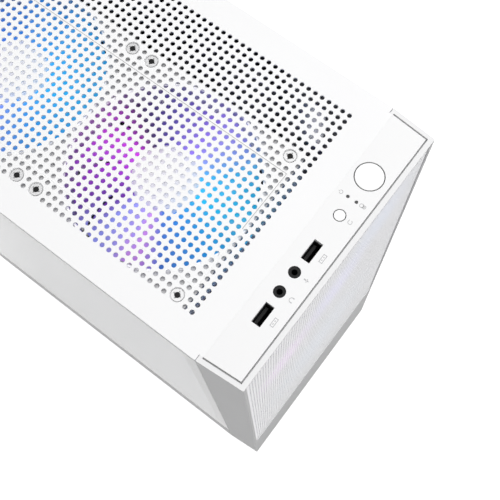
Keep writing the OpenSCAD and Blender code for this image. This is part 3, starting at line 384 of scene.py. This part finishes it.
class Solid:
    """Collects points and faces of several closed shapes."""

    def __init__(self):
        self.v, self.f = [], []

    def add(self, verts, faces, move=None):
        n = len(self.v)
        self.v += [move @ Vector(p) if move else Vector(p) for p in verts]
        self.f += [[n + i for i in f] for f in faces]

    def box(self, x, y, z, bevel=0.0, move=None):
        """A block with its edges cut back by bevel."""
        if bevel <= 0:
            v = [(a, b, c) for a in x for b in y for c in z]
            f = [(0, 1, 3, 2), (4, 6, 7, 5), (0, 4, 5, 1), (2, 3, 7, 6), (0, 2, 6, 4), (1, 5, 7, 3)]
            return self.add(v, f, move)
        bm = bmesh.new()
        bmesh.ops.create_cube(bm, size=1)
        for p in bm.verts:
            for i, r in enumerate((x, y, z)):
                p.co[i] = r[0] if p.co[i] < 0 else r[1]
        bmesh.ops.bevel(bm, geom=list(bm.edges), offset=bevel, segments=2, profile=0.5,
                        affect="EDGES")
        bm.verts.index_update()
        self.add([p.co.copy() for p in bm.verts], [[p.index for p in f.verts] for f in bm.faces],
                 move)
        bm.free()

    def lathe(self, profile, n=32, move=None):
        """Turns (radius, height) points round Z; a radius of 0 closes an end."""
        v, f, rings = [], [], []
        for r, h in profile:
            if r == 0:
                rings.append([len(v)])
                v.append((0, 0, h))
            else:
                rings.append(list(range(len(v), len(v) + n)))
                v += [(r * math.cos(2 * math.pi * k / n), r * math.sin(2 * math.pi * k / n), h)
                      for k in range(n)]
        for a, b in zip(rings, rings[1:] + ([rings[0]] if profile[0][0] else [])):
            for k in range(n):
                q = [a[k % len(a)], a[(k + 1) % len(a)], b[(k + 1) % len(b)], b[k % len(b)]]
                q = list(dict.fromkeys(q))
                if len(q) > 2:
                    f.append(q)
        self.add(v, f, move)

    def tube(self, points, r, n=12, closed=False, move=None):
        """A round tube along points, with a frame that doesn't twist."""
        p = [Vector(q) for q in points]
        m = len(p)
        tang = [(p[(i + 1) % m] - p[i - 1]) if closed else (p[min(i + 1, m - 1)] - p[max(i - 1, 0)])
                for i in range(m)]
        side = tang[0].orthogonal().normalized()
        v = []
        for i in range(m):
            t = tang[i].normalized()
            side = (side - t * side.dot(t)).normalized()
            up = t.cross(side)
            v += [p[i] + r * (math.cos(2 * math.pi * k / n) * side
                              + math.sin(2 * math.pi * k / n) * up) for k in range(n)]
        f = []
        for i in range(m if closed else m - 1):
            j = (i + 1) % m
            f += [(i * n + k, i * n + (k + 1) % n, j * n + (k + 1) % n, j * n + k)
                  for k in range(n)]
        if not closed:
            f += [list(range(n))[::-1], [(m - 1) * n + k for k in range(n)]]
        self.add(v, f, move)

    def make(self, name, mat, body, slot, **k):
        return piece(name, self.v, self.f, mat, body, slot, **k)


def place(origin, axis="z", flip=False):
    """Matrix that stands a local shape, built up Z, at origin along another axis."""
    turn = {
        "z": Matrix.Identity(4),
        "y": Matrix.Rotation(math.radians(90), 4, "X"),
        "x": Matrix.Rotation(math.radians(90), 4, "Y"),
    }[axis]
    if flip:
        turn = turn @ Matrix.Rotation(math.pi, 4, "X")
    return Matrix.Translation(origin) @ turn


# ---------------------------------------------------------------- camera

cam = bpy.data.objects.new("camera", bpy.data.cameras.new("camera"))
bpy.context.scene.collection.objects.link(cam)
look = Vector((0.24574, 0.18782, -0.95097)).normalized()
up = Vector((0.76043, 0.57104, 0.30929))
right = look.cross(up).normalized()
up = right.cross(look).normalized()
cam.matrix_world = Matrix.Translation((-0.13476, -0.22866, 0.8714)) @ Matrix(
    (right, up, -look)).transposed().to_4x4()
cam.data.lens = 59.34
cam.data.sensor_width = 36
cam.data.shift_x = -0.0396
cam.data.shift_y = 0.0004
cam.data.clip_start = 0.01
bpy.context.scene.camera = cam

# ---------------------------------------------------------------- fans

# local frame of each fan: origin, axis, flip
fx, fy = -19.7, (-63.6, 56.4)
FANS = {
    "top_fan_front": ((fx, fy[0], 402.4), "z", False),
    "top_fan_rear": ((fx, fy[1], 402.4), "z", False),
    "front_fan_upper": ((0, -147.5, 348), "y", False),
    "front_fan_lower": ((0, -147.5, 227.6), "y", False),
    "rear_fan": ((-25.5, 170, 345), "y", False),
    "cpu_fan": ((-11.6, 42.6, 337), "y", False),
    "psu_fan": ((0, 101, 40.2), "z", True),
}


def blade(s, hub, tip, z0, z1, angle, chord, thick, sweep, camber, move, nr=9, nc=8):
    """One blade: a curved, swept sheet with rounded edges, thicker at its root."""
    rows = []
    for i in range(nr + 1):
        t = i / nr
        r = hub - 0.8 + (tip - hub + 0.8) * t
        half = chord[0] + (chord[1] - chord[0]) * t
        pitch = math.radians(32 - 13 * t)
        lean = math.radians(angle) + math.radians(sweep) * t * t
        th = thick * (1.15 - 0.45 * t)
        upper, lower = [], []
        for j in range(nc + 1):
            c = j / nc - 0.5
            arc = c * half * math.cos(pitch) / r
            h = (z0 + z1) / 2 + c * half * math.sin(pitch) + camber * (1 - 4 * c * c)
            h = min(max(h, z0), z1)
            edge = math.sqrt(max(0.0, 1 - (2 * c) ** 4)) * 0.5 * th
            a = lean + arc
            for side, out in ((edge, upper), (-edge, lower)):
                out.append((r * math.cos(a), r * math.sin(a), h + side))
        rows.append(upper + lower[1:-1][::-1])
    n = len(rows[0])
    v = [p for row in rows for p in row]
    f = []
    for i in range(nr):
        for k in range(n):
            f.append((i * n + k, i * n + (k + 1) % n, (i + 1) * n + (k + 1) % n, (i + 1) * n + k))
    f += [list(range(n))[::-1], [nr * n + k for k in range(n)]]
    s.add(v, f, move)


def rotor(body, node, move, blade_mat, hub_mat, hub=20.5, tip=55.8, z=(4.5, 22), count=9,
          chord=(21, 41), slot="fan_rotor", sweep=22):
    """Blades and hub of one fan, in place of its CAD rotor."""
    z0, z1 = z
    s = Solid()
    for i in range(count):
        blade(s, hub, tip, z0 + 0.4, z1 - 0.6, i * 360 / count, chord, 1.5, sweep, 1.2, move)
    s.make(node + "_blades", blade_mat, body, slot, smooth=45, replaces=node)
    c = Solid()
    c.lathe([(0, z1 - 0.35), (hub * 0.55, z1 - 0.3), (hub * 0.6, z1), (hub - 1.6, z1),
             (hub - 0.5, z1 - 0.5), (hub, z1 - 1.6), (hub, z0 + 0.3), (hub - 0.3, z0),
             (hub - 2, z0), (hub - 2, z1 - 2), (0, z1 - 2)], 64, move)
    c.lathe([(0, 2), (1.6, 2), (1.6, z1 - 2.1), (0, z1 - 2.1)], 24, move)
    c.make(node + "_hub", hub_mat, body, slot, smooth=35, replaces=node)


def stops(*items):
    return [(a / 360, srgb(*c)) for a, c in items]


# the light round each fan, by angle
AURORA = stops(
    (0, (0.60, 0.48, 1.0)), (30, (0.36, 0.30, 0.70)), (58, (0.22, 0.12, 0.32)),
    (83, (0.86, 0.24, 0.96)), (112, (0.66, 0.22, 0.86)), (145, (0.42, 0.20, 0.66)),
    (166, (0.58, 0.62, 1.0)), (184, (0.66, 0.62, 1.0)), (197, (0.86, 0.56, 0.98)),
    (215, (0.22, 0.48, 0.88)), (242, (0.10, 0.60, 0.95)), (278, (0.08, 0.78, 1.0)),
    (312, (0.16, 0.74, 1.0)), (338, (0.60, 0.58, 1.0)), (359, (0.60, 0.48, 1.0)))
SKY = stops(
    (0, (0.12, 0.58, 0.92)), (60, (0.20, 0.46, 0.88)), (120, (0.50, 0.38, 0.95)),
    (180, (0.56, 0.60, 1.0)), (230, (0.22, 0.62, 0.96)), (280, (0.10, 0.72, 1.0)),
    (330, (0.10, 0.66, 0.96)), (359, (0.12, 0.58, 0.92)))

# Painted glow: the white hub, and the rim copied from it, give off a faint even light of their own.
HUB = surface("white_hub_painted_glow", (0.88, 0.88, 0.89), 0.4, tint=0.01, grain=3000, bump=0.04)
glow = HUB.node_tree.nodes["Principled BSDF"]
glow.inputs["Emission Color"].default_value = (1.0, 0.98, 1.0, 1)
glow.inputs["Emission Strength"].default_value = 0.2
RIM = HUB.copy()
RIM.name = "rim_painted_glow"
LIT = {
    "top_fan_front": (AURORA, 0.95, (0, 0, 0)),
    "top_fan_rear": (SKY, 0.95, (0, 0, 0)),
    "front_fan_upper": (AURORA, 0.85, (math.radians(90), 0, 0)),
    "front_fan_lower": (SKY, 0.85, (math.radians(90), 0, 0)),
    "rear_fan": (AURORA, 0.9, (math.radians(90), 0, 0)),
}
for body, (origin, axis, flip) in FANS.items():
    move = place(origin, axis, flip)
    if body in LIT:
        # clear rim on the duct's mouth, with the hub's painted glow, and the lit wall of the duct
        # between the flanges
        s = Solid()
        s.lathe([(58.1, 25.0), (59.6, 25.0), (59.3, 25.5), (58.3, 25.5)], 96, move)
        s.make(body + "_rim", RIM, "case", "fan_frame", smooth=30)
        ramp_stops, strength, turn = LIT[body]
        centre = move @ Vector((0, 0, 13))
        mat = lit_blades(body + "_light", centre, turn, ramp_stops, strength)
        s = Solid()
        s.lathe([(59.65, 5.5), (59.9, 5.5), (59.9, 19.5), (59.65, 19.5)], 96, move)
        s.make(body + "_duct_light", mat, "case", "fan_rotor", smooth=30)
        rotor(body, body + "_rotor", move, mat, HUB, chord=(24, 46) if "top" in body else (20, 38))
    else:
        rotor(body, body + "_rotor", move, BLACK, DARK, slot="black_plastic")
for body, y in (("graphics_fan_rear", 109.8), ("graphics_fan_front", -4.2)):
    move = place((9, y, 219.4), "z", True)
    rotor(body, body, move, BLACK, DARK, hub=14, tip=38.8, z=(3, 14.6), count=11,
          chord=(10, 16), slot="black_plastic", sweep=16)

# ---------------------------------------------------------------- front mesh


def perforated(name, x, z, y, margin, pitch, radius, bands, mat, body, slot, replaces):
    """Sheet steel with staggered round holes, built in bands side by side."""
    columns = round((x[1] - x[0] - 2 * margin) / pitch[0])
    rows = round((z[1] - z[0] - 2 * margin) / pitch[1])
    px = (x[1] - x[0] - 2 * margin) / columns
    half = (z[1] - z[0] - 2 * margin) / rows / 2
    zs = [z[0]] + [z[0] + margin + i * half for i in range(2 * rows + 1)] + [z[1]]
    per = math.ceil(columns / bands)
    for b in range(bands):
        k0, k1 = b * per, min(columns, (b + 1) * per)
        xs = [x[0] + margin + k * px for k in range(k0, k1 + 1)]
        first = 1 if b == 0 else 0
        if b == 0:
            xs.insert(0, x[0])
        if b == bands - 1:
            xs.append(x[1])
        nz, nx = len(zs), len(xs)
        v = [(a, y[s], c) for s in (0, 1) for a in xs for c in zs]

        def at(i, m, s):
            return s * nx * nz + i * nz + m

        f, taken = [], set()
        for i in range(nx - 1):
            k = k0 + i - first
            if k < k0 or k >= k1:
                continue
            for m in range(1 + (k % 2), 2 * rows, 2):
                if m + 2 > 2 * rows + 1:
                    break
                cx, cz = (xs[i] + xs[i + 1]) / 2, zs[m + 1]
                taken.update(((i, m), (i, m + 1)))
                ring = []
                for s in (0, 1):
                    start = len(v)
                    ring.append(start)
                    v += [(cx + radius * math.cos(math.pi * (q + 0.5) / 4), y[s],
                           cz + radius * math.sin(math.pi * (q + 0.5) / 4)) for q in range(8)]
                    o = [at(i + 1, m + 1, s), at(i + 1, m + 2, s), at(i, m + 2, s),
                         at(i, m + 1, s), at(i, m, s), at(i + 1, m, s)]
                    h = [start + q for q in range(8)]
                    f += [(o[0], o[1], h[1], h[0]), (o[1], o[2], h[2], h[1]),
                          (o[2], o[3], h[3], h[2]), (o[3], h[4], h[3]),
                          (o[3], o[4], h[5], h[4]), (o[4], o[5], h[6], h[5]),
                          (o[5], o[0], h[7], h[6]), (o[0], h[0], h[7])]
                a, c = ring
                f += [(a + q, a + (q + 1) % 8, c + (q + 1) % 8, c + q) for q in range(8)]
        for i in range(nx - 1):
            for m in range(nz - 1):
                if (i, m) not in taken:
                    for s in (0, 1):
                        f.append((at(i, m, s), at(i + 1, m, s), at(i + 1, m + 1, s),
                                  at(i, m + 1, s)))
        for i in range(nx - 1):
            for m in (0, nz - 1):
                f.append((at(i, m, 0), at(i + 1, m, 0), at(i + 1, m, 1), at(i, m, 1)))
        for m in range(nz - 1):
            for i in (0, nx - 1):
                f.append((at(i, m, 0), at(i, m + 1, 0), at(i, m + 1, 1), at(i, m, 1)))
        piece(f"{name}_{b}", v, f, mat, body, slot, replaces=replaces)


lo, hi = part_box("front_mesh")
perforated("front_mesh_sheet", (lo.x / MM, hi.x / MM), (lo.z / MM, hi.z / MM),
           (lo.y / MM, hi.y / MM), 1.5, (2.48, 2.86), 0.82, 3, MESH, "front_grille",
           "white_steel", "front_mesh")


def painted_fan_light(g):
    """Painted fan light: soft glowing patches on the net behind the mesh over an even painted glow,
    also used on the mesh's punched walls.
    """
    total = None
    for centre, colour, size in (
            ((-50, -175, 345), (0.30, 0.10, 0.36), 0.04), ((2, -175, 358), (0.15, 0.13, 0.42), 0.045),
            ((45, -175, 392), (0.05, 0.11, 0.25), 0.05), ((0, -175, 228), (0.05, 0.10, 0.17), 0.09)):
        length = g.node("VectorMath", operation="LENGTH")
        g.link(centred(g, centre), length.inputs[0])
        falloff = g.node("MapRange", interpolation_type="SMOOTHSTEP")
        falloff.inputs["From Max"].default_value = size
        falloff.inputs["To Min"].default_value = 1
        falloff.inputs["To Max"].default_value = 0
        g.link(length.outputs["Value"], falloff.inputs["Value"])
        scale = g.node("VectorMath", operation="SCALE")
        scale.inputs[0].default_value = colour
        g.link(falloff.outputs[0], scale.inputs["Scale"])
        if total is None:
            total = scale.outputs[0]
        else:
            add = g.node("VectorMath", operation="ADD")
            g.link(total, add.inputs[0])
            g.link(scale.outputs[0], add.inputs[1])
            total = add.outputs[0]
    base = g.node("VectorMath", operation="ADD")
    base.inputs[1].default_value = (0.14, 0.14, 0.145)
    g.link(total, base.inputs[0])
    return base.outputs[0]


# Painted shade darkens the mesh's punched walls, which also carry painted fan light; the flat face
# carries an even painted glow
g = Graph.of(MESH)
facing = g.node("SeparateXYZ")
g.link(g.tree.nodes["Texture Coordinate"].outputs["Normal"], facing.inputs[0])
flat = g.math("GREATER_THAN", g.math("ABSOLUTE", facing.outputs["Y"]), 0.5)
g.link(g.mix(flat, (0.42, 0.42, 0.43), g.colour), g.bsdf.inputs["Base Color"])
g.link(g.mix(flat, painted_fan_light(g), (0.30, 0.30, 0.31)), g.bsdf.inputs["Emission Color"])
g.bsdf.inputs["Emission Strength"].default_value = 1.0
# The net behind the mesh emits the same painted fan light.
paint(nodes["front_filter"], net("net_with_painted_fan_light", (0.42, 0.42, 0.43), painted_fan_light))

# ---------------------------------------------------------------- small marks and trim

# Painted shade: a grey strip in the groove round the control strip, and a dark ring in the gap round
# each button
groove_ribbon = Solid()
zf = (427.5, 427.9)
fx0, bx0 = 92.6 - 3.5, 95 - 4.1
yf, yb = -173.8, -149.2
groove_ribbon.box((-fx0 - 0.9, fx0 + 0.9), (yf - 0.95, yf - 0.1), zf)
for s in (-1, 1):
    v = []
    for z in zf:
        for a, b in ((0.1, yf), (0.9, yf - 0.9)):
            v.append((s * (fx0 + a), b, z))
        v += [(s * (bx0 + 0.9), yb, z), (s * (bx0 + 0.1), yb, z)]
    groove_ribbon.add(v, [(0, 1, 2, 3), (7, 6, 5, 4), (0, 1, 5, 4), (1, 2, 6, 5), (2, 3, 7, 6), (3, 0, 4, 7)])
groove_ribbon.make("groove_shade_ribbon", GROOVE_SHADE_GREY, "case", "white_plastic")
gap_rings = Solid()
for x, r0, r1 in ((49.9, 8.72, 9.25), (20, 3.38, 3.86)):
    gap_rings.lathe([(r0, 427.6), (r1, 427.6), (r1, 429.2), (r0, 429.2)], 64,
               Matrix.Translation((x, -160.8, 0)))
gap_rings.make("button_gap_shade_rings", GAP_SHADE_GREY, "case", "white_plastic", smooth=40)

# Painted shade: dark discs on the painted heads of the top fans' screws, for the shade in their drive
# recesses
dark_discs = Solid()
for x in (-72.2, 32.8):
    for y in (-116.1, -11.1, 3.9, 108.9):
        dark_discs.lathe([(0.01, 429.4), (1.75, 429.4), (1.75, 429.66), (0.01, 429.68)], 32,
                     Matrix.Translation((x, y, 0)))
dark_discs.make("top_screw_recess_shade", SOCKET, "case", "black_steel", smooth=40)

# Thin filling in the seam behind the control strip
seam = Solid()
y0, y1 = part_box("io_panel")[1][1] / MM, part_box("top_panel")[0][1] / MM
seam.box((-90.8, 90.8), (y0 + 0.01, y1 - 0.01), (427.6, 429.85))
seam.make("seam_filling", WHITE, "case", "white_steel")

# The two cables inside, as bundles of sleeved wires


def eased(points, steps):
    """Catmull-Rom curve through the points."""
    p = [Vector(q) for q in points]
    p = [2 * p[0] - p[1]] + p + [2 * p[-1] - p[-2]]
    out = []
    for a, b, c, d in zip(p, p[1:], p[2:], p[3:]):
        for k in range(steps):
            t = k / steps
            out.append(0.5 * (2 * b + (c - a) * t + (2 * a - 5 * b + 4 * c - d) * t * t
                              + (3 * b - a - 3 * c + d) * t ** 3))
    return out + [p[-2]]


def bundle(node, points, ring, r, count):
    p = eased(points, 8)
    m = len(p)
    side = (p[1] - p[0]).orthogonal().normalized()
    paths = [[] for _ in range(count)]
    for i in range(m):
        t = (p[min(i + 1, m - 1)] - p[max(i - 1, 0)]).normalized()
        side = (side - t * side.dot(t)).normalized()
        up = t.cross(side)
        for k in range(count):
            a = 2 * math.pi * k / count + 2.4 * i / m
            paths[k].append(p[i] + ring * (math.cos(a) * side + math.sin(a) * up))
    s = Solid()
    for path in paths:
        s.tube(path, r, n=10)
    s.tube(p, ring - 0.6 * r, n=10)
    s.make(node + "_wires", SLEEVE, "case", "cable", smooth=60, replaces=node)


bundle("power_cable", [
    (58, 35, 72), (58, 19, 73), (60, 3, 82), (63, -17, 93), (66, -45, 95), (67, -66, 95.5),
    (67, -79, 99), (67, -88, 109), (67, -91, 126), (67, -91, 170), (67, -91, 230), (59, -92, 266),
    (43, -92, 290), (31, -87, 303), (26, -78, 309), (33, -69, 310), (47, -67, 309),
    (64.3, -67, 309)], 4.1, 1.85, 7)
bundle("front_io_cable", [
    (70, -158, BOARD_Z - 2.7), (71, -158, BOARD_Z - 14), (74, -158, BOARD_Z - 34), (75, -158, 330),
    (75, -158, 240), (75, -157, 208), (75, -151, 191), (76, -138, 186), (79, -118, 185),
    (79, -95, 184), (75.5, -82.4, 183.6), (73.4, -73.7, 183.5)], 1.4, 0.95, 5)

# Raised line pressed in the top, round the fans' field; the right-hand line is coloured grey as
# painted shade, the left one white
bz = (Z_TOP, Z_TOP + 0.14)
bead = Solid()
bead.box((22.18, 22.62), (-121.5, 168), bz)
bead.box((-20, 22.18), (-121.5, -121.06), bz)
bead.make("top_bead", BEAD_SHADE, "case", "white_steel")
bead = Solid()
bead.box((-62.82, -62.38), (-121.5, 168), bz)
bead.box((-62.38, -20), (-121.5, -121.06), bz)
bead.make("top_bead_left", WHITE, "case", "white_steel")


def icon_arc(s, x, y, r, a0, a1, w=0.4, n=16):
    """Flat printed arc on the control strip."""
    z0, z1 = Z_TOP - 0.005, Z_TOP + 0.02
    v, f = [], []
    for i in range(n + 1):
        a = math.radians(a0 + (a1 - a0) * i / n)
        for rr in (r - w / 2, r + w / 2):
            for z in (z0, z1):
                v.append((x + rr * math.cos(a), y + rr * math.sin(a), z))
    for i in range(n):
        b, c = 4 * i, 4 * i + 4
        for p, q in ((0, 1), (1, 3), (3, 2), (2, 0)):
            f.append((b + p, b + q, c + q, c + p))
    f += [(0, 2, 3, 1), (4 * n, 4 * n + 1, 4 * n + 3, 4 * n + 2)]
    s.add(v, f)


def icon_bar(s, x, y, w, d):
    s.box((x - w / 2, x + w / 2), (y - d / 2, y + d / 2), (Z_TOP - 0.005, Z_TOP + 0.02))


ink = Solid()
led, res, usb, jack = 32.3, 20, (-52.6, -6.9), (-36.7, -22.7)
icon_arc(ink, led, -153.0, 1.1, 125, 415)      # power: broken ring and bar
icon_bar(ink, led, -151.9, 0.4, 1.2)
for k in range(3):                             # drive: stacked rings
    icon_arc(ink, led, -167.6 - k * 0.7, 1.15, 200, 340)
icon_arc(ink, led, -167.4, 1.15, 0, 360)
icon_arc(ink, res, -168.0, 1.25, 60, 350)      # reset: ring with a gap
icon_bar(ink, res + 0.9, -166.9, 0.9, 0.3)
for x in usb:                                  # socket: outline with two contacts
    for dy in (-1.0, 1.0):
        icon_bar(ink, x, -168.4 + dy, 5.2, 0.4)
    for dx in (-2.6, 2.6):
        icon_bar(ink, x + dx, -168.4, 0.4, 2.4)
    for dx in (-1.0, 1.0):
        icon_bar(ink, x + dx, -168.4, 0.8, 0.6)
icon_arc(ink, jack[0], -168.6, 1.4, 0, 180)    # headphones
for dx in (-1.4, 1.4):
    icon_bar(ink, jack[0] + dx, -169.0, 0.6, 1.2)
icon_bar(ink, jack[1], -167.6, 0.8, 1.7)       # microphone
icon_arc(ink, jack[1], -168.0, 1.1, 200, 340)
icon_bar(ink, jack[1], -169.5, 0.4, 0.9)
ink.make("control_marks", INK, "case", "white_plastic")

# ---------------------------------------------------------------- stage and light

scene = bpy.context.scene
scene.view_settings.view_transform = "Standard"
bpy.ops.mesh.primitive_plane_add(size=14, location=(0, 0, 0))
floor = bpy.context.object
floor.name = "floor"
g = Graph("floor")
g.link(g.ramp(g.noise(1.5, 2), [(0.3, (0.34, 0.34, 0.34)), (0.7, (0.36, 0.36, 0.36))]),
       g.bsdf.inputs["Base Color"])
g.bsdf.inputs["Roughness"].default_value = 0.9
g.bsdf.inputs["Specular IOR Level"].default_value = 0.1
path = g.node("LightPath")
seen = g.spread(path.outputs["Is Camera Ray"], 0.72, 0.95)
g.link(g.math("MULTIPLY", seen, g.spread(path.outputs["Is Diffuse Ray"], 1.0, 0.0)),
       g.bsdf.inputs["Emission Strength"])
g.bsdf.inputs["Emission Color"].default_value = (1, 1, 1, 1)
floor.data.materials.append(g.mat)

world = bpy.data.worlds.new("world")
scene.world = world
world.use_nodes = True
wt = world.node_tree
bg = wt.nodes["Background"]
bg.inputs["Color"].default_value = (1, 1, 1, 1)
lp = wt.nodes.new("ShaderNodeLightPath")
mr = wt.nodes.new("ShaderNodeMapRange")
mr.inputs["To Min"].default_value = 0.18
mr.inputs["To Max"].default_value = 1.0
wt.links.new(lp.outputs["Is Camera Ray"], mr.inputs["Value"])
wt.links.new(mr.outputs[0], bg.inputs["Strength"])


def area(name, place_at, target, size, power, colour=(1, 1, 1)):
    light = bpy.data.lights.new(name, "AREA")
    light.shape = "RECTANGLE"
    light.size, light.size_y = size
    light.energy = power
    light.color = colour
    o = bpy.data.objects.new(name, light)
    scene.collection.objects.link(o)
    o.location = place_at
    o.rotation_mode = "QUATERNION"
    o.rotation_quaternion = (Vector(target) - Vector(place_at)).to_track_quat("-Z", "Y")
    return o


area("key", (0.5, -0.3, 2.4), (0, 0, 0.3), (2.4, 2.4), 50)
area("front_right", (1.5, -1.9, 0.9), (0, -0.1, 0.25), (1.2, 1.2), 3)
area("rear", (0.7, 2.2, 0.55), (0, 0.1, 0.25), (1.2, 1.2), 26)
area("left", (-2.2, 0.9, 0.7), (0, 0, 0.25), (1.2, 1.2), 10)
inside = area("inside", (-0.088, 0.03, 0.31), (0.08, 0.05, 0.27), (0.2, 0.02), 0.06)
inside.visible_camera = False
inside.visible_glossy = False
inside.visible_transmission = False
